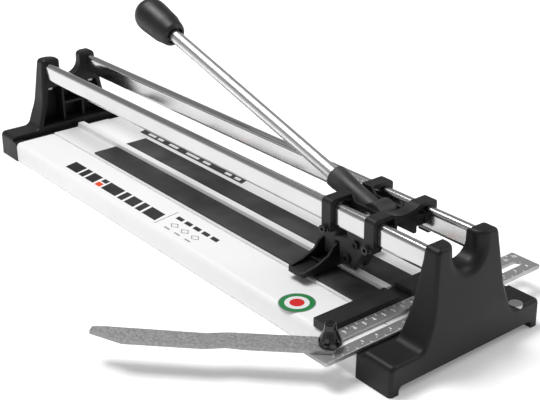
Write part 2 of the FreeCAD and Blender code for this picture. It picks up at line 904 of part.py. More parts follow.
node("carriage_frame", cut(carriage_blank, pin_hole, *claw_holes))

pads_made = []
for (near, far) in claws:
    for way in (-1, 1):
        inner, outer = plate_out, rail_off - rail_round - gap
        low, high = (inner, outer) if way > 0 else (-outer, -inner)
        pads_made.append(block(near + 0.75, far - 0.75, low, high, oval_low + 1, oval_high - 1))
node("slide_pads", gather(pads_made))

# ---------------------------------------------------------------- lever
lever_tilt = size("lever_tilt", 16.5, "slope of the lever at rest, in degrees")
boss_round = size("boss_radius", 11.5, "radius of the pivot boss")
boss_half = size("boss_half_width", 8.5, "half width of the pivot boss")
socket_end = size("socket_length", 55.3, "socket mouth from the pivot")
socket_round = size("socket_radius", 9.6, "radius of the socket's mouth")
neck_round = size("neck_radius", 8.2, "radius of the socket's neck")
socket_bore = size("socket_bore_depth", 19, "depth of the tube in the socket")
tube_round = size("lever_tube_radius", 6, "radius of the lever tube")
tube_wall = size("lever_tube_wall", 1.5, "wall of the lever tube")
grip_start = size("grip_start", 290.3, "small end of the grip from the pivot")
grip_small = size("grip_small_radius", 11.8, "radius of the grip's small end")
grip_end = size("grip_end", 345.8, "far end of the grip from the pivot")
grip_round = size("grip_radius", 16.1, "radius of the grip's knob")
wheel_x = size("wheel_x", 179, "wheel axle along the machine")
wheel_z = size("wheel_axle_height", 38.5, "height of the wheel axle")
wheel_round = size("wheel_radius", 11, "radius of the scoring wheel")
wheel_thick = size("wheel_thickness", 5, "thickness of the wheel's hub")
axle_round = size("axle_radius", 3, "radius of the wheel axle")
leg_half = size("leg_half_width", 8, "half width of the casting's lower leg")
stem_mid = size("stem_middle", 157, "middle of the breaker stem")
stem_half = size("stem_half_length", 7, "half length of the stem")
foot_z = size("foot_pin_height", 42, "height of the breaker foot's pin")
foot_low = size("breaker_underside", 26.6, "underside of the breaker foot")
foot_span = size("breaker_half_span", 45, "half span of the breaker foot")
foot_body = size("breaker_half_length", 10, "half length of the breaker foot")
rim = size("breaker_rim", 2.3, "wall of the breaker foot's rims")

lever_turn = lever_tilt - 90


def on_lever(item):
    """Lays a piece that was made along +Z on the lever's axis."""
    return place(item, pivot_x, 0, pivot_z, ALONG_Y, lever_turn)


socket = turned(
    "lever_socket",
    "Z",
    (0, 0),
    (socket_end, 0),
    (socket_end, socket_round - 1),
    (socket_end - 1, socket_round),
    (socket_end - 6, socket_round),
    (socket_end - 20, neck_round + 0.5),
    (boss_round + 2, neck_round),
    (0, neck_round),
)
on_lever(socket)
leg = new_body("lever_leg")
stem_rear, stem_front = stem_mid - stem_half, stem_mid + stem_half
pad(
    leg,
    "XZ_Plane",
    -leg_half,
    leg_half,
    polygon(
        (pivot_x + 9, pivot_z - 6),
        (wheel_x + 18.5, 50),
        (wheel_x + 9, 30.5),
        (wheel_x - 9, 30.5),
        (wheel_x - 11, 48.5),
        (stem_front, 48.5),
        (stem_front, 33),
        (stem_rear, 33),
        (stem_rear, 74),
        (stem_front, 74),
        (stem_front, 52.5),
        (wheel_x + 0.5, 54),
        (wheel_x - 2, 61),
        (pivot_x - 9, pivot_z + 1),
    ),
)
round_edges(
    leg,
    2.5,
    lambda edge: runs_along(edge, ALONG_Y)
    and (middle_of(edge).z > 73 or abs(middle_of(edge).z - 61) < 0.1)
    and middle_of(edge).x < pivot_x.value - 7,
)
round_edges(
    leg,
    1,
    lambda edge: abs(abs(middle_of(edge).y) - leg_half.value) < 0.01
    and middle_of(edge).x < pivot_x.value - 10,
    "Chamfer",
)
boss = rod("Y", pivot_x, pivot_z, -boss_half, boss_half, boss_round)
rib = new_body("lever_rib")
pad(
    rib,
    "XZ_Plane",
    -2,
    2,
    polygon((stem_front + 6, 66), (pivot_x - 8, pivot_z), (pivot_x - 18, pivot_z + 6), (stem_front + 6, pivot_z + 4)),
)
nut_half = 3.2
nut_high = leg_half + nut_half
axle_set = screw("Y", wheel_x, wheel_z, -leg_half - 2.4, 1, (4.6, 2.4), axle_round,
                 leg_half * 2 + 2.4 + nut_half + 1.2, (2, 1.4))
axle_hole = screw_set("wheel_axle", [axle_set])
nut = rod("Y", wheel_x, wheel_z, leg_half, nut_high, 5.2, None, 6)
node("axle_nut", cut(nut, rod("Y", wheel_x, wheel_z, leg_half, nut_high, axle_round)))
bolt_x, bolt_z = wheel_x + 10, 54
bolt_hole = screw_set(
    "fork_bolt",
    [screw("Y", bolt_x, bolt_z, -leg_half - 2.2, 1, (3.6, 2.2), 2, leg_half * 2 + 4.4, (1.9, 1.3))],
)
wheel_bay = rod("Y", wheel_x, wheel_z, -wheel_thick / 2 - gap, wheel_thick / 2 + gap, wheel_round + 1)
lever_pin_hole = rod("Y", pivot_x, pivot_z, -boss_half - 1, boss_half + 1, pin_round + fit)
tube_space = rod("Z", 0, 0, socket_end - socket_bore, socket_end + 1, tube_round)
tube_bore = gather([tube_space])
on_lever(tube_bore)
foot_pin_end = stem_mid + foot_body - 0.1
foot_pin_set = screw("X", 0, foot_z, stem_mid - foot_body - 2, 1, (4, 2), 2.5,
                     foot_body * 2 + 1.9, (1.8, 1.2))
foot_pin_hole = screw_set("foot_pin", [foot_pin_set])
foot_bore = rod("X", 0, foot_z, stem_mid - foot_body - 1, stem_mid + foot_body + 1, 2.5 + fit)
tube_screw_set = [
    screw("Z", 0, 0, -socket_round - 0.6, 1, (2.4, 2.4), 1.2, socket_round + 2, (1.1, 1))
]
casting = fuse(boss, socket, leg, rib)
tube_screw_local = gather([tube_screw_set[0][0]])
place(
    tube_screw_local,
    pivot_x - (socket_end - 8) * 0.9588,
    0,
    pivot_z + (socket_end - 8) * 0.2840,
    ALONG_Y,
    lever_tilt,
)
node("tube_screw", tube_screw_local)
tube_screw_bore = gather([tube_screw_set[0][1]])
place(
    tube_screw_bore,
    pivot_x - (socket_end - 8) * 0.9588,
    0,
    pivot_z + (socket_end - 8) * 0.2840,
    ALONG_Y,
    lever_tilt,
)
node(
    "lever_casting",
    cut(casting, wheel_bay, lever_pin_hole, tube_bore, axle_hole[0], bolt_hole[0],
        foot_pin_hole[0], tube_screw_bore),
)

tube_start = socket_end - socket_bore
tube_stop = grip_end - 20
lever_tube = turned(
    "lever_tube",
    "Z",
    (tube_start, tube_round - tube_wall),
    (tube_stop, tube_round - tube_wall),
    (tube_stop, tube_round),
    (tube_start, tube_round),
)
node("lever_tube", cut(on_lever(lever_tube), tube_screw_bore))
grip = turned(
    "lever_grip",
    "Z",
    (grip_start + 3, tube_round),
    (tube_stop, tube_round),
    (tube_stop, 0),
    (grip_end, 0),
    (grip_end, grip_round),
    (grip_end - grip_round - 4, grip_round),
    (grip_start + 15, grip_small + 3),
    (grip_start + 2, grip_small),
    (grip_start, grip_small - 1.5),
    (grip_start, tube_round + 2.5),
    (grip_start + 3, tube_round + 2.5),
)
round_edges(
    grip,
    grip_round - 0.5,
    lambda edge: len(edge.Vertexes) == 1 and abs(middle_of(edge).z - grip_end.value) < 0.1,
)
on_lever(grip)
node("lever_grip", grip)

half_wheel = wheel_thick / 2
wheel = turned(
    "scoring_wheel",
    "Y",
    (-half_wheel, axle_round + fit),
    (half_wheel, axle_round + fit),
    (half_wheel, 6),
    (1.2, 7.5),
    (1.2, wheel_round - 1.5),
    (0.1, wheel_round),
    (-0.1, wheel_round),
    (-1.2, wheel_round - 1.5),
    (-1.2, 7.5),
    (-half_wheel, 6),
)
place(wheel, wheel_x, 0, wheel_z)
node("scoring_wheel", wheel)


# ---------------------------------------------------------------- breaker foot
def make_breaker():
    """Pressing foot: a long tray that is pinned across the foot of the stem."""
    body = new_body("breaker_foot")
    rear, front = stem_mid - foot_body, stem_mid + foot_body
    pad(
        body,
        "YZ_Plane",
        rear,
        front,
        mirrored(
            [
                (foot_span, foot_low),
                (foot_span, foot_low + 4),
                (foot_span - 15, foot_low + 6.5),
                (foot_span - 28, foot_z - 4),
                (10, foot_z + 4.5),
            ]
        ),
    )
    round_edges(
        body,
        6,
        lambda edge: runs_along(edge, ALONG_X) and abs(abs(middle_of(edge).y) - 10) < 0.1,
    )
    round_edges(
        body,
        3,
        lambda edge: runs_along(edge, ALONG_Z),
    )
    tray = rectangle(rear + rim, front - rim, 2.5 - foot_span, foot_span - 2.5)
    pocket(body, "XY_Plane", foot_low + 3, foot_z + 10, tray)
    for way in (-1, 1):
        ends = (20, 22) if way > 0 else (-22, -20)
        rib_shape = rectangle(rear + 1, front - 1, ends[0], ends[1])
        pad(body, "XY_Plane", foot_low + 2, foot_low + 6, rib_shape)
    return body


breaker = make_breaker()
node("breaker_foot", cut(breaker, foot_bore))

# ---------------------------------------------------------------- angle stop
clamp_out = size("clamp_place", 13, "distance of the stop's bolt from the deck's edge")
clamp_y = -base_wide - clamp_out
clamp_bolt_round = size("clamp_bolt_radius", 3, "radius of the stop's bolt")
arm_thick = size("arm_thickness", 3, "thickness of the swing arm")
arm_long = size("arm_length", 179, "length of the swing arm from the bolt")
arm_half = size("arm_half_width", 9.4, "half width of the swing arm")
knob_tall = size("knob_height", 17, "height of the clamp knob")
knob_base = size("knob_base_radius", 8.75, "radius of the knob's foot")
knob_top = size("knob_top_radius", 4.3, "radius of the knob's top")

arm_low = ruler_top
arm_high = arm_low + arm_thick
washer_high = arm_high + 1
bolt_top = washer_high + knob_tall - 5
head_high = 4.5
clamp_bolt = fuse(
    rod("Z", slot_x, clamp_y, base_top - head_high, base_top - gap / 3, 6.5, None, 6),
    rod("Z", slot_x, clamp_y, base_top - gap / 3, ruler_top, slot_half - gap),
    rod("Z", slot_x, clamp_y, ruler_top, bolt_top, clamp_bolt_round),
)
node("clamp_bolt", clamp_bolt)
arm = new_body("swing_arm")
pad(
    arm,
    "XY_Plane",
    gap / 3,
    arm_thick,
    polygon(
        (-arm_half, -5),
        (arm_half, -5),
        (arm_half, 75),
        (arm_half - 2.6, 92),
        (arm_half, arm_long - 9),
        (arm_half - 1, arm_long - 0.5),
        (2, arm_long),
        (-arm_half - 0.4, arm_long - 27),
        (-arm_half - 1.6, 91),
        (-arm_half + 1.4, 75),
        (-arm_half, 60),
    ),
    circle(0, 0, clamp_bolt_round + fit),
)
round_edges(
    arm,
    4.5,
    lambda edge: runs_along(edge, ALONG_Z) and middle_of(edge).y < 0,
)
round_edges(
    arm,
    8,
    lambda edge: runs_along(edge, ALONG_Z) and 60 < middle_of(edge).y < 160,
)
arm_turn = size("arm_angle", 135, "direction of the swing arm at rest, in degrees")
place(arm, slot_x, clamp_y, arm_low, ALONG_Z, arm_turn)
node("swing_arm", arm)
washer = new_body("clamp_washer")
pad(washer, "XY_Plane", arm_high, washer_high, circle(slot_x, clamp_y, 7.5),
    circle(slot_x, clamp_y, clamp_bolt_round + fit))
node("clamp_washer", washer)

insert_top = washer_high + 8
insert_round = clamp_bolt_round + 2
insert = new_body("knob_insert")
pad(insert, "XY_Plane", washer_high + gap / 3, insert_top, circle(slot_x, clamp_y, insert_round),
    circle(slot_x, clamp_y, clamp_bolt_round + fit))
node("knob_insert", insert)
knob = turned(
    "clamp_knob",
    "Z",
    (gap / 3, insert_round),
    (8, insert_round),
    (8, clamp_bolt_round + 0.5),
    (knob_tall - 3.5, clamp_bolt_round + 0.5),
    (knob_tall - 3.5, 0),
    (knob_tall, 0),
    (knob_tall, knob_top - 1),
    (knob_tall - 1, knob_top),
    (knob_tall - 5, knob_top + 0.4),
    (3, knob_base),
    (gap / 3, knob_base),
)
flute_sketch = new_sketch(knob, "XY_Plane", knob_tall + 1)
circle(knob_base + 1.2, 0, 3)(flute_sketch)
flute = knob.newObject("PartDesign::Pocket", "Flute")
flute.Profile = flute_sketch
bind(flute, "Length", knob_tall - 1.5)
knob.Tip = flute
pattern = knob.newObject("PartDesign::PolarPattern", "Flutes")
pattern.Originals = [flute]
pattern.Axis = (flute_sketch, ["N_Axis"])
pattern.Angle = 360
pattern.Occurrences = 6
knob.Tip = pattern
place(knob, slot_x, clamp_y, washer_high)
node("clamp_knob", knob)

# ---------------------------------------------------------------- check and write
doc.recompute()
for item in doc.Objects:
    if "Invalid" in item.State or "Error" in item.State:
        raise RuntimeError("%s (%s) did not build" % (item.Label, item.Name))
os.makedirs("parts", exist_ok=True)
for item in NODES:
    if item.Shape.isNull() or not item.Shape.isValid():
        raise RuntimeError("%s has no valid shape" % item.Label)
    item.Shape.exportStep("parts/%s.step" % item.Label)
    print("%-18s solids %d  volume %.0f" % (item.Label, len(item.Shape.Solids), item.Shape.Volume))
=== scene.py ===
import math

import bpy
from mathutils import Euler, Matrix, Vector


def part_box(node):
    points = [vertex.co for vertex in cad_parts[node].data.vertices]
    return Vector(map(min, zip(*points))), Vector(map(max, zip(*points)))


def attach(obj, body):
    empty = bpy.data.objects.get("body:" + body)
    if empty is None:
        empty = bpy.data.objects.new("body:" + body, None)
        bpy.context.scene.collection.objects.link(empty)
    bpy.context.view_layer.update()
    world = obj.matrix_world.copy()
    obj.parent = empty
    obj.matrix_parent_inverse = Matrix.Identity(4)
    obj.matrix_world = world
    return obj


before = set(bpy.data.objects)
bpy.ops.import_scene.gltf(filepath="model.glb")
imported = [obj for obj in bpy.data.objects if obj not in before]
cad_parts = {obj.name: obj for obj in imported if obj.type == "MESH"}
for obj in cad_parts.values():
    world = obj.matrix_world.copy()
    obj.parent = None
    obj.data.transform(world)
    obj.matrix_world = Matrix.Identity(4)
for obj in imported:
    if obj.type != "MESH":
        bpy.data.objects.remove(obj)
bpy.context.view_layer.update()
MM = 0.001

# ------------------------------------------------------------------ base profile
# The deck is one aluminium extrusion with closed side boxes, two middle ribs and the
# breaking ridge on top.  It is powder coated white, so the coat has a faint
# orange-peel skin and a very slight change of tone from place to place.


def shader_group(name, inputs, outputs):
    """An empty shader node group with its sockets, and its two end nodes."""
    group = bpy.data.node_groups.new(name, "ShaderNodeTree")
    for label, kind, value in inputs:
        socket = group.interface.new_socket(label, in_out="INPUT", socket_type=kind)
        socket.default_value = value
    for label, kind in outputs:
        group.interface.new_socket(label, in_out="OUTPUT", socket_type=kind)
    return group, group.nodes.new("NodeGroupInput"), group.nodes.new("NodeGroupOutput")


def link(tree, source, target):
    tree.links.new(source, target)


def build_skin_group():
    """Two tones in soft patches, a roughness that follows them, and a fine grain."""
    colour, number = "NodeSocketColor", "NodeSocketFloat"
    group, start, end = shader_group(
        "Surface skin",
        (
            ("Tone", colour, (0.5, 0.5, 0.5, 1)),
            ("Other tone", colour, (0.4, 0.4, 0.4, 1)),
            ("Patch scale", number, 20.0),
            ("Grain scale", number, 900.0),
            ("Roughness", number, 0.4),
            ("Roughness spread", number, 0.1),
        ),
        (("Colour", colour), ("Roughness", number), ("Height", number)),
    )
    nodes = group.nodes
    place = nodes.new("ShaderNodeTexCoord")
    patches = nodes.new("ShaderNodeTexNoise")
    patches.inputs["Detail"].default_value = 5
    grain = nodes.new("ShaderNodeTexNoise")
    grain.inputs["Detail"].default_value = 3
    link(group, place.outputs["Object"], patches.inputs["Vector"])
    link(group, place.outputs["Object"], grain.inputs["Vector"])
    link(group, start.outputs["Patch scale"], patches.inputs["Scale"])
    link(group, start.outputs["Grain scale"], grain.inputs["Scale"])
    spread = nodes.new("ShaderNodeMapRange")
    spread.inputs["From Min"].default_value = 0.35
    spread.inputs["From Max"].default_value = 0.65
    link(group, patches.outputs["Fac"], spread.inputs["Value"])
    mix = nodes.new("ShaderNodeMix")
    mix.data_type = "RGBA"
    link(group, spread.outputs["Result"], mix.inputs["Factor"])
    link(group, start.outputs["Tone"], mix.inputs["A"])
    link(group, start.outputs["Other tone"], mix.inputs["B"])
    rough = nodes.new("ShaderNodeMath")
    rough.operation = "MULTIPLY_ADD"
    link(group, spread.outputs["Result"], rough.inputs[0])
    link(group, start.outputs["Roughness spread"], rough.inputs[1])
    link(group, start.outputs["Roughness"], rough.inputs[2])
    link(group, mix.outputs["Result"], end.inputs["Colour"])
    link(group, rough.outputs[0], end.inputs["Roughness"])
    link(group, grain.outputs["Fac"], end.inputs["Height"])
    return group


SKIN = build_skin_group()


def finish(name, tone, other, rough, spread, patch=20.0, grain=900.0, bump=0.1, metal=0.0,
           lift=0.02 * MM, coat=0.0, specular=0.5):
    """A material with the surface skin."""
    material = bpy.data.materials.new(name)
    material.use_nodes = True
    tree = material.node_tree
    shader = tree.nodes["Principled BSDF"]
    skin = tree.nodes.new("ShaderNodeGroup")
    skin.node_tree = SKIN
    skin.inputs["Tone"].default_value = (*tone, 1)
    skin.inputs["Other tone"].default_value = (*other, 1)
    skin.inputs["Patch scale"].default_value = patch
    skin.inputs["Grain scale"].default_value = grain
    skin.inputs["Roughness"].default_value = rough
    skin.inputs["Roughness spread"].default_value = spread
    relief = tree.nodes.new("ShaderNodeBump")
    relief.inputs["Strength"].default_value = bump
    relief.inputs["Distance"].default_value = lift
    link(tree, skin.outputs["Height"], relief.inputs["Height"])
    link(tree, relief.outputs["Normal"], shader.inputs["Normal"])
    link(tree, skin.outputs["Colour"], shader.inputs["Base Color"])
    link(tree, skin.outputs["Roughness"], shader.inputs["Roughness"])
    shader.inputs["Metallic"].default_value = metal
    shader.inputs["Coat Weight"].default_value = coat
    shader.inputs["Specular IOR Level"].default_value = specular
    return material


def soften(item, width):
    """Breaks the sharp edges by a hair and keeps the flat faces flat."""
    item.data.shade_smooth()
    weld = item.modifiers.new("Weld", "WELD")
    weld.merge_threshold = 0.002 * MM
    if width:
        bevel = item.modifiers.new("Bevel", "BEVEL")
        bevel.width = width
        bevel.segments = 2
        bevel.limit_method = "ANGLE"
        bevel.angle_limit = math.radians(38)
        bevel.use_clamp_overlap = True
    flat = item.modifiers.new("Flat faces", "WEIGHTED_NORMAL")
    flat.keep_sharp = True
    flat.weight = 80


def dress(node, material, width=0.25 * MM):
    """Gives a CAD node its finish and its broken edges."""
    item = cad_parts[node]
    item.data.materials.clear()
    item.data.materials.append(material)
    soften(item, width)


WHITE_COAT = finish("White powder coat", (0.9, 0.9, 0.9), (0.875, 0.875, 0.875), 0.34, 0.1,
                    patch=9, grain=700, bump=0.12)
dress("base_profile", WHITE_COAT, 0.3 * MM)

# ------------------------------------------------------------------ printed marks
# Thin printed films on the white deck: slanted bars with one orange square, a row of
# small outlined tiles, a dark strip with pale blocks on the far side, and a plain
# round sticker.  Each film is a closed plate a tenth of a millimetre thick.

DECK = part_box("fence_slab")[0].z
FILM = 0.1 * MM


def mesh_piece(name, points, faces, material):
    """A new object from points and faces, with its place in its mesh."""
    mesh = bpy.data.meshes.new(name)
    mesh.from_pydata(points, [], faces)
    mesh.validate()
    mesh.materials.append(material)
    item = bpy.data.objects.new(name, mesh)
    bpy.context.scene.collection.objects.link(item)
    return item


def plate(outline, low, high):
    """Points and faces of an upright prism over an outline that runs anticlockwise."""
    count = len(outline)
    points = [(x, y, low) for x, y in outline] + [(x, y, high) for x, y in outline]
    faces = [tuple(reversed(range(count))), tuple(range(count, 2 * count))]
    for i in range(count):
        after = (i + 1) % count
        faces.append((i, after, count + after, count + i))
    return points, faces


def plates(name, outlines, low, high, material):
    """Several prisms in one mesh."""
    points, faces = [], []
    for outline in outlines:
        more, sides = plate(outline, low, high)
        faces += [tuple(len(points) + i for i in side) for side in sides]
        points += more
    return mesh_piece(name, points, faces, material)


def slanted(x, y, long, wide, slant):
    """A bar that leans along +X towards the middle of the machine."""
    return [(x, y), (x + long, y), (x + long + slant, y + wide), (x + slant, y + wide)]


def ring_outline(x, y, radius, steps=48):
    """A round outline that runs anticlockwise."""
    turn = 2 * math.pi / steps
    return [(x + radius * math.cos(turn * i), y + radius * math.sin(turn * i))
            for i in range(steps)]


def printed(item):
    """A mark on a fixed piece: it rides on the frame."""
    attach(item, "frame")


INK = finish("Black print", (0.012, 0.012, 0.014), (0.02, 0.02, 0.022), 0.35, 0.1, patch=60)
ORANGE = finish("Orange print", (0.85, 0.07, 0.006), (0.76, 0.06, 0.005), 0.35, 0.1, patch=60)
GREEN = finish("Green print", (0.004, 0.23, 0.05), (0.006, 0.2, 0.045), 0.35, 0.1, patch=60)
RED = finish("Red print", (0.7, 0.008, 0.008), (0.6, 0.008, 0.008), 0.35, 0.1, patch=60)
PAPER = finish("White film", (0.86, 0.86, 0.86), (0.8, 0.8, 0.8), 0.3, 0.1, patch=60)
LINE_GREY = finish("Grey print", (0.25, 0.26, 0.27), (0.2, 0.2, 0.21), 0.35, 0.1, patch=60)

bar_y, bar_wide, bar_slant, bar_gap = -70 * MM, 14.5 * MM, -4 * MM, 3.4 * MM
bars, start = [], -178 * MM
for long in (22, 9, 16, 9, 26, 9, 16, 9, 22):
    bars.append(slanted(start, bar_y, long * MM, bar_wide, bar_slant))
    start += long * MM + bar_gap
short_x = bars.pop(3)[0][0]
short_long = 9 * MM
bars.append(slanted(short_x - 1.6 * MM, -61.5 * MM, short_long, 6 * MM, -1.6 * MM))
printed(plates("deck_bars", bars, DECK, DECK + FILM, INK))
spot = slanted(short_x, bar_y, short_long, 6.5 * MM, -1.8 * MM)
printed(plates("deck_spot", [spot], DECK, DECK + FILM, ORANGE))
rule = [slanted(-9 * MM, -73 * MM, 0.6 * MM, 29 * MM, -4.5 * MM)]
word_long, word_wide, word_step = 9.6 * MM, 5 * MM, 13.4 * MM
words = [slanted(-4 * MM + word_step * i, -53 * MM, word_long, word_wide, -1.4 * MM)
         for i in range(5)]
printed(plates("deck_small_bars", rule + words, DECK, DECK + FILM, INK))


def tile_frame(x, y, half, hole):
    """Four strips round a small lozenge.  The hole is given as a share of its size."""
    strips = []
    outer = [(x - half, y), (x, y - half * 0.7), (x + half, y), (x, y + half * 0.7)]
    inner = [(x + (px - x) * hole, y + (py - y) * hole) for px, py in outer]
    for i in range(4):
        j = (i + 1) % 4
        strips.append([outer[i], outer[j], inner[j], inner[i]])
    return strips


lozenges, lozenge_step = [], 16 * MM
for i in range(3):
    shift = lozenge_step * i
    lozenges += tile_frame(8 * MM + shift, -62 * MM, 5.8 * MM, 0.76)
    lozenges.append(slanted(4 * MM + shift, -71 * MM, 8 * MM, 1.6 * MM, -0.4 * MM))
printed(plates("deck_tiles", lozenges, DECK, DECK + FILM, LINE_GREY))

label = slanted(-212 * MM, 40.5 * MM, 184 * MM, 9 * MM, -3 * MM)
printed(plates("far_label", [label], DECK, DECK + FILM, INK))
block_y, block_wide = 43 * MM, 4 * MM
blocks = [
    slanted(x * MM, block_y, long * MM, block_wide, -1.2 * MM)
    for x, long in ((-200, 14), (-182, 10), (-160, 16), (-128, 22), (-98, 12), (-60, 10), (-44, 9))
]
thin_film = 0.6 * FILM
label_top = DECK + FILM
printed(plates("far_label_blocks", blocks, label_top, label_top + thin_film, PAPER))

sticker_x, sticker_y = 185 * MM, -66 * MM
rings = (
    ("sticker_edge", 15, LINE_GREY, "black_steel"),
    ("sticker_green", 14.2, GREEN, "green_print"),
    ("sticker_white", 10, PAPER, "white_coat"),
    ("sticker_red", 6, RED, "orange_print"),
)
for level, (name, radius, material, slot_name) in enumerate(rings):
    disc = ring_outline(sticker_x, sticker_y, radius * MM)
    low = DECK + level * thin_film
    printed(plates(name, [disc], low, low + thin_film, material))

# ------------------------------------------------------------------ rubber strips
# Two mats of dark rubber lie on the middle deck and give the tile something to bend
# over.  They are cut from ribbed sheet and rubbed pale in places.


def streaks(material, along, across, amount):
    """Adds fine lines to the roughness, stretched along one axis as rolling leaves them."""
    tree = material.node_tree
    place = tree.nodes.new("ShaderNodeTexCoord")
    turn = tree.nodes.new("ShaderNodeMapping")
    turn.inputs["Scale"].default_value = (along, across, across)
    lines = tree.nodes.new("ShaderNodeTexNoise")
    lines.inputs["Scale"].default_value = 1.0
    lines.inputs["Detail"].default_value = 4
    shader = tree.nodes["Principled BSDF"]
    old = shader.inputs["Roughness"].links[0].from_socket
    add = tree.nodes.new("ShaderNodeMath")
    add.operation = "MULTIPLY_ADD"
    add.use_clamp = True
    add.inputs[1].default_value = amount
    link(tree, place.outputs["Object"], turn.inputs["Vector"])
    link(tree, turn.outputs["Vector"], lines.inputs["Vector"])
    link(tree, lines.outputs["Fac"], add.inputs[0])
    link(tree, old, add.inputs[2])
    link(tree, add.outputs[0], shader.inputs["Roughness"])
    return material


RUBBER = streaks(
    finish("Rubber mat", (0.02, 0.02, 0.0205), (0.06, 0.06, 0.06), 0.5, 0.16, patch=26,
           grain=1300, bump=0.5, lift=0.05 * MM, specular=0.35),
    500, 40, 0.15)
for node in ("near_strip", "far_strip"):
    dress(node, RUBBER, 0.3 * MM)
SOLE = finish("Rubber sole", (0.02, 0.02, 0.02), (0.035, 0.035, 0.035), 0.65, 0.1, patch=60,
              bump=0.4, lift=0.05 * MM)
for node in ("centre_strip", "foot_pads"):
    dress(node, SOLE, 0)

# ------------------------------------------------------------------ end brackets
# The two end brackets are hollow mouldings in black glass-filled nylon.  The mould
# was spark eroded, so the skin is a fine even leather with soft wide highlights.

NYLON = finish("Black moulding", (0.007, 0.007, 0.0073), (0.011, 0.011, 0.0115), 0.4, 0.1,
               patch=30, grain=1500, bump=0.35, lift=0.04 * MM, specular=0.26)
for node in ("front_bracket", "rear_bracket"):
    dress(node, NYLON, 0.4 * MM)

# ------------------------------------------------------------------ rails and screws
# Oval steel tubes, drawn, polished along their length and chrome plated, on steel
# plugs.  Screws are zinc plated; the ones on the slider and the lever are blackened.

CHROME = streaks(
    finish("Chrome tube", (0.66, 0.66, 0.665), (0.61, 0.61, 0.615), 0.08, 0.04, patch=16,
           grain=400, bump=0.03, metal=1.0),
    3, 900, 0.12)
ZINC = finish("Zinc steel", (0.5, 0.5, 0.5), (0.42, 0.42, 0.43), 0.28, 0.14, patch=120,
              grain=900, bump=0.15, metal=1.0)
BLACKENED = finish("Blackened steel", (0.016, 0.016, 0.017), (0.03, 0.03, 0.03), 0.32, 0.15,
                   patch=150, bump=0.2, metal=0.4)
for node in ("near_rail", "far_rail"):
    dress(node, CHROME, 0.2 * MM)
for node in ("bracket_screws", "rail_screws", "rail_plugs", "fence_screws", "ruler_screws",
             "shoulder_stud", "pivot_pin", "pivot_clips", "foot_pin", "clamp_washer",
             "clamp_bolt", "knob_insert"):
    dress(node, ZINC, 0.12 * MM)
for node in ("ruler_stud", "claw_screws", "tube_screw", "wheel_axle", "axle_nut", "fork_bolt"):
    dress(node, BLACKENED, 0.12 * MM)
WHEEL_STEEL = finish("Hard metal", (0.35, 0.35, 0.36), (0.28, 0.28, 0.29), 0.2, 0.1, patch=200,
                     metal=1.0)
dress("scoring_wheel", WHEEL_STEEL, 0.08 * MM)

# ------------------------------------------------------------------ fence slab
# The fence is a thick steel slab, coated satin black, with a groove in the middle
# where the wheel runs out over the tile's edge.

SATIN_BLACK = finish("Satin black coat", (0.012, 0.012, 0.0125), (0.018, 0.018, 0.019), 0.42,
                     0.12, patch=40, grain=1100, bump=0.35, lift=0.04 * MM, specular=0.3)
dress("fence_slab", SATIN_BLACK, 0.3 * MM)

# ------------------------------------------------------------------ ruler
# A flat aluminium bar, slotted for the stop.  Its scale is etched: a tick every five
# millimetres counted out from the cutting line, and diagonal steps on the front edge.

ALUMINIUM = streaks(
    finish("Brushed aluminium", (0.5, 0.5, 0.505), (0.42, 0.42, 0.425), 0.3, 0.1, patch=30,
           grain=800, bump=0.12, metal=0.85),
    900, 6, 0.12)
dress("ruler_bar", ALUMINIUM, 0.25 * MM)
ETCH = finish("Etched mark", (0.95, 0.95, 0.95), (0.88, 0.88, 0.88), 0.45, 0.1, patch=90)
ruler_low, ruler_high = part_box("ruler_bar")


def tick_tree():
    """A row of equal ticks along Y, made solid, with named sizes."""
    tree = bpy.data.node_groups.new("Tick row", "GeometryNodeTree")
    for label, kind in (("Count", "NodeSocketInt"), ("Step", "NodeSocketFloat"),
                        ("First", "NodeSocketVector"), ("Size", "NodeSocketVector"),
                        ("Material", "NodeSocketMaterial")):
        tree.interface.new_socket(label, in_out="INPUT", socket_type=kind)
    tree.interface.new_socket("Geometry", in_out="OUTPUT", socket_type="NodeSocketGeometry")
    begin, end = tree.nodes.new("NodeGroupInput"), tree.nodes.new("NodeGroupOutput")
    step = tree.nodes.new("ShaderNodeCombineXYZ")
    row = tree.nodes.new("GeometryNodeMeshLine")
    tick = tree.nodes.new("GeometryNodeMeshCube")
    copies = tree.nodes.new("GeometryNodeInstanceOnPoints")
    solid = tree.nodes.new("GeometryNodeRealizeInstances")
    paint = tree.nodes.new("GeometryNodeSetMaterial")
    link(tree, begin.outputs["Step"], step.inputs["Y"])
    link(tree, begin.outputs["Count"], row.inputs["Count"])
    link(tree, begin.outputs["First"], row.inputs["Start Location"])
    link(tree, step.outputs["Vector"], row.inputs["Offset"])
    link(tree, begin.outputs["Size"], tick.inputs["Size"])
    link(tree, row.outputs["Mesh"], copies.inputs["Points"])
    link(tree, tick.outputs["Mesh"], copies.inputs["Instance"])
    link(tree, copies.outputs["Instances"], solid.inputs["Geometry"])
    link(tree, solid.outputs["Geometry"], paint.inputs["Geometry"])
    link(tree, begin.outputs["Material"], paint.inputs["Material"])
    link(tree, paint.outputs["Geometry"], end.inputs["Geometry"])
    return tree


TICKS = tick_tree()


def made_solid(item, name):
    """Turns what the item's modifiers make into a plain mesh."""
    bpy.context.view_layer.update()
    seen = item.evaluated_get(bpy.context.evaluated_depsgraph_get())
    mesh = bpy.data.meshes.new_from_object(seen)
    bpy.data.objects.remove(item)
    plain = bpy.data.objects.new(name, mesh)
    bpy.context.scene.collection.objects.link(plain)
    return plain


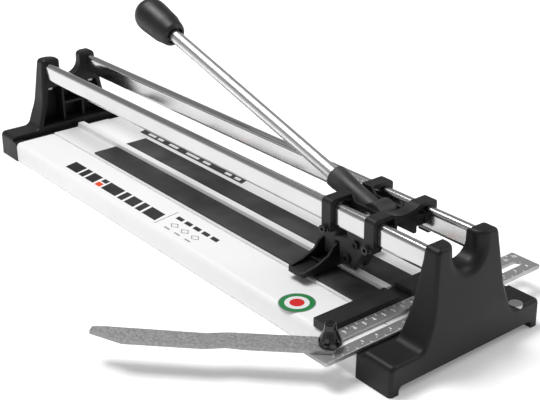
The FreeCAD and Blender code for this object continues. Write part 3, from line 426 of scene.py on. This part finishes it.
def tick_row(name, count, step, first, tick_size):
    """A row of etched ticks along the ruler."""
    holder = bpy.data.objects.new(name, bpy.data.meshes.new(name))
    bpy.context.scene.collection.objects.link(holder)
    row = holder.modifiers.new("Tick row", "NODES")
    row.node_group = TICKS
    values = {"Count": count, "Step": step, "First": first, "Size": tick_size,
              "Material": ETCH}
    for socket in TICKS.interface.items_tree:
        if socket.item_type == "SOCKET" and socket.name in values:
            row[socket.identifier] = values[socket.name]
    printed(made_solid(holder, name))


TICK_THICK = 0.08 * MM
tick_z = ruler_high.z + TICK_THICK / 2
tick_inset = 0.8 * MM
fine, bold = 0.6 * MM, 0.75 * MM
ten = 10 * MM
for name, count, step, long, wide in (
    ("ruler_fives", 45, ten / 2, 2.6 * MM, fine),
    ("ruler_tens", 23, ten, 3.8 * MM, bold),
):
    first = (ruler_low.x + tick_inset + long / 2, -10 * ten, tick_z)
    tick_row(name, count, step, first, (long, wide, TICK_THICK))
diagonal = ten * math.sqrt(2)
for name, count, step, long in (
    ("ruler_diagonals", 15, diagonal, 3.4 * MM),
    ("ruler_half_diagonals", 30, diagonal / 2, 2 * MM),
):
    first = (ruler_high.x - tick_inset - long / 2, -7 * diagonal, tick_z)
    tick_row(name, count, step, first, (long, fine, TICK_THICK))
line_wide, line_end = 0.3 * MM, 3 * MM
line_long = ruler_high.y - ruler_low.y - 2 * line_end
edge_lines = [
    slanted(x, ruler_low.y + line_end, line_wide, line_long, 0)
    for x in (ruler_low.x + 0.4 * MM, ruler_high.x - 0.4 * MM - line_wide)
]
lines = plates("ruler_edge_lines", edge_lines, ruler_high.z, ruler_high.z + TICK_THICK, ETCH)
printed(lines)


def numeral(text, x, y, height):
    """A figure that reads from the ruler end, as a thin solid."""
    curve = bpy.data.curves.new("figure", "FONT")
    curve.body = text
    curve.size = height
    curve.align_x = "CENTER"
    curve.align_y = "CENTER"
    curve.extrude = TICK_THICK / 2
    curve.offset = 0.12 * MM
    item = bpy.data.objects.new("figure", curve)
    bpy.context.scene.collection.objects.link(item)
    turn = Matrix.Translation((x, y, tick_z))
    turn @= Matrix.Rotation(math.radians(90), 4, "Z")
    plain = made_solid(item, "figure")
    plain.data.transform(turn)
    return plain


def joined(name, items, material):
    """One mesh from several."""
    points, faces = [], []
    for item in items:
        base = len(points)
        points += [tuple(v.co) for v in item.data.vertices]
        faces += [tuple(base + i for i in p.vertices) for p in item.data.polygons]
        bpy.data.objects.remove(item)
    return mesh_piece(name, points, faces, material)


ten_x, diagonal_x = ruler_low.x + 6.6 * MM, ruler_high.x - 6.2 * MM
beside_tick = 2.2 * MM
figures = [numeral(str(abs(i)), ten_x, i * ten, 4.4 * MM) for i in range(-10, 13)]
figures += [numeral(str(abs(i)), diagonal_x, i * diagonal + beside_tick, 3.6 * MM)
            for i in range(-7, 9)]
printed(joined("ruler_figures", figures, ETCH))

# ------------------------------------------------------------------ carriage
# The slider is a black coated casting that wraps both rails with four claws.  Black
# nylon pads run on the rails' inner sides and small screws take up the play.

CAST_BLACK = finish("Black casting", (0.008, 0.008, 0.0083), (0.015, 0.015, 0.0155), 0.42, 0.14,
                    patch=60, grain=700, bump=0.5, lift=0.06 * MM, specular=0.3)
dress("carriage_frame", CAST_BLACK, 0.9 * MM)
PAD_NYLON = finish("Nylon pad", (0.02, 0.02, 0.02), (0.03, 0.03, 0.03), 0.5, 0.1, patch=90,
                   specular=0.3)
dress("slide_pads", PAD_NYLON, 0.2 * MM)

# ------------------------------------------------------------------ lever
# The lever's casting holds the tube in a socket and carries the wheel fork and the
# breaker's stem.  The tube is chromed steel with a black moulded grip.

CAST_GREY = finish("Grey casting", (0.02, 0.02, 0.021), (0.038, 0.038, 0.039), 0.42, 0.14,
                   patch=70, grain=600, bump=0.6, lift=0.08 * MM, specular=0.4)
dress("lever_casting", CAST_GREY, 0.5 * MM)
dress("breaker_foot", CAST_BLACK, 0.4 * MM)
LEVER_CHROME = finish("Satin chrome tube", (0.78, 0.78, 0.78), (0.7, 0.7, 0.7), 0.27, 0.08,
                      patch=30, grain=900, bump=0.06, metal=1.0)
dress("lever_tube", LEVER_CHROME, 0.1 * MM)
GRIP_BLACK = finish("Black grip", (0.009, 0.009, 0.0093), (0.014, 0.014, 0.0143), 0.36, 0.1,
                    patch=40, grain=1100, bump=0.3, lift=0.04 * MM, specular=0.4)
dress("lever_grip", GRIP_BLACK, 0.3 * MM)

# ------------------------------------------------------------------ angle stop
# The stop's arm is a blank of galvanised sheet with a grainy zinc skin.  A glossy
# black fluted knob clamps it to the ruler.

ARM_ZINC = finish("Galvanised sheet", (0.27, 0.27, 0.275), (0.4, 0.4, 0.4), 0.38, 0.16,
                  patch=420, grain=1600, bump=0.4, metal=0.55, lift=0.04 * MM)
dress("swing_arm", ARM_ZINC, 0.2 * MM)
GLOSS_BLACK = finish("Glossy black", (0.004, 0.004, 0.004), (0.007, 0.007, 0.007), 0.14, 0.08,
                     patch=60, grain=600, bump=0.1, specular=0.6)
dress("clamp_knob", GLOSS_BLACK, 0.3 * MM)

# ------------------------------------------------------------------ studio
# A plain pale floor and two soft lamps.  The chrome mirrors a bright horizon with one
# dark line and a darker zenith, which give it shape; the camera sees a plain white sky.

FLOOR_WHITE = finish("Studio floor", (0.97, 0.97, 0.97), (0.965, 0.965, 0.965), 0.9, 0.05,
                     patch=0.5, bump=0.0, specular=0.05)
floor_shader = FLOOR_WHITE.node_tree.nodes["Principled BSDF"]
floor_shader.inputs["Emission Color"].default_value = (1, 1, 1, 1)
floor_shader.inputs["Emission Strength"].default_value = 0.16
reach = 6.0
floor = mesh_piece(
    "studio_floor",
    [(-reach, -reach, 0), (reach, -reach, 0), (reach, reach, 0), (-reach, reach, 0)],
    [(0, 1, 2, 3)],
    FLOOR_WHITE,
)

world = bpy.data.worlds.new("Studio")
bpy.context.scene.world = world
world.use_nodes = True
sky = world.node_tree
back = sky.nodes["Background"]
direction = sky.nodes.new("ShaderNodeTexCoord")
parts = sky.nodes.new("ShaderNodeSeparateXYZ")
ramp = sky.nodes.new("ShaderNodeValToRGB")
link(sky, direction.outputs["Generated"], parts.inputs["Vector"])
link(sky, parts.outputs["Z"], ramp.inputs["Fac"])
ray = sky.nodes.new("ShaderNodeLightPath")
choice = sky.nodes.new("ShaderNodeMix")
choice.data_type = "RGBA"
choice.inputs["B"].default_value = (1, 1, 1, 1)
link(sky, ray.outputs["Is Camera Ray"], choice.inputs["Factor"])
link(sky, ramp.outputs["Color"], choice.inputs["A"])
link(sky, choice.outputs["Result"], back.inputs["Color"])
ramp.color_ramp.elements[0].position = 0.0
ramp.color_ramp.elements[0].color = (1, 1, 1, 1)
ramp.color_ramp.elements[1].position = 1.0
ramp.color_ramp.elements[1].color = (0.5, 0.5, 0.5, 1)
for height, tone in ((0.02, 0.95), (0.035, 0.06), (0.075, 0.06), (0.1, 0.85), (0.15, 0.75),
                     (0.26, 0.3), (0.62, 0.22)):
    ramp.color_ramp.elements.new(height).color = (tone, tone, tone, 1)
back.inputs["Strength"].default_value = 1.0


def lamp(name, place, aim, wide, power):
    """A soft square lamp that points at a place."""
    light = bpy.data.lights.new(name, "AREA")
    light.shape = "SQUARE"
    light.size = wide
    light.energy = power
    item = bpy.data.objects.new(name, light)
    bpy.context.scene.collection.objects.link(item)
    item.location = place
    item.rotation_euler = (Vector(aim) - Vector(place)).to_track_quat("-Z", "Y").to_euler()


lamp("Key lamp", (-0.6, -0.4, 2.2), (0, 0, 0), 1.1, 43)
lamp("Fill lamp", (0.9, 1.3, 1.2), (0.1, 0, 0), 0.8, 7)

camera_data = bpy.data.cameras.new("Camera")
camera_data.sensor_width = 36
camera_data.lens = 73.63
camera_data.clip_end = 50
camera = bpy.data.objects.new("Camera", camera_data)
bpy.context.scene.collection.objects.link(camera)
stand = Vector((0.76532, -0.54673, 0.45265))
pitch, roll, heading = (math.radians(angle) for angle in (65.488, 0.682, 51.577))
camera.matrix_world = Matrix.LocRotScale(stand, Euler((pitch, roll, heading)), None)
bpy.context.scene.camera = camera
bpy.context.scene.view_settings.view_transform = "Standard"
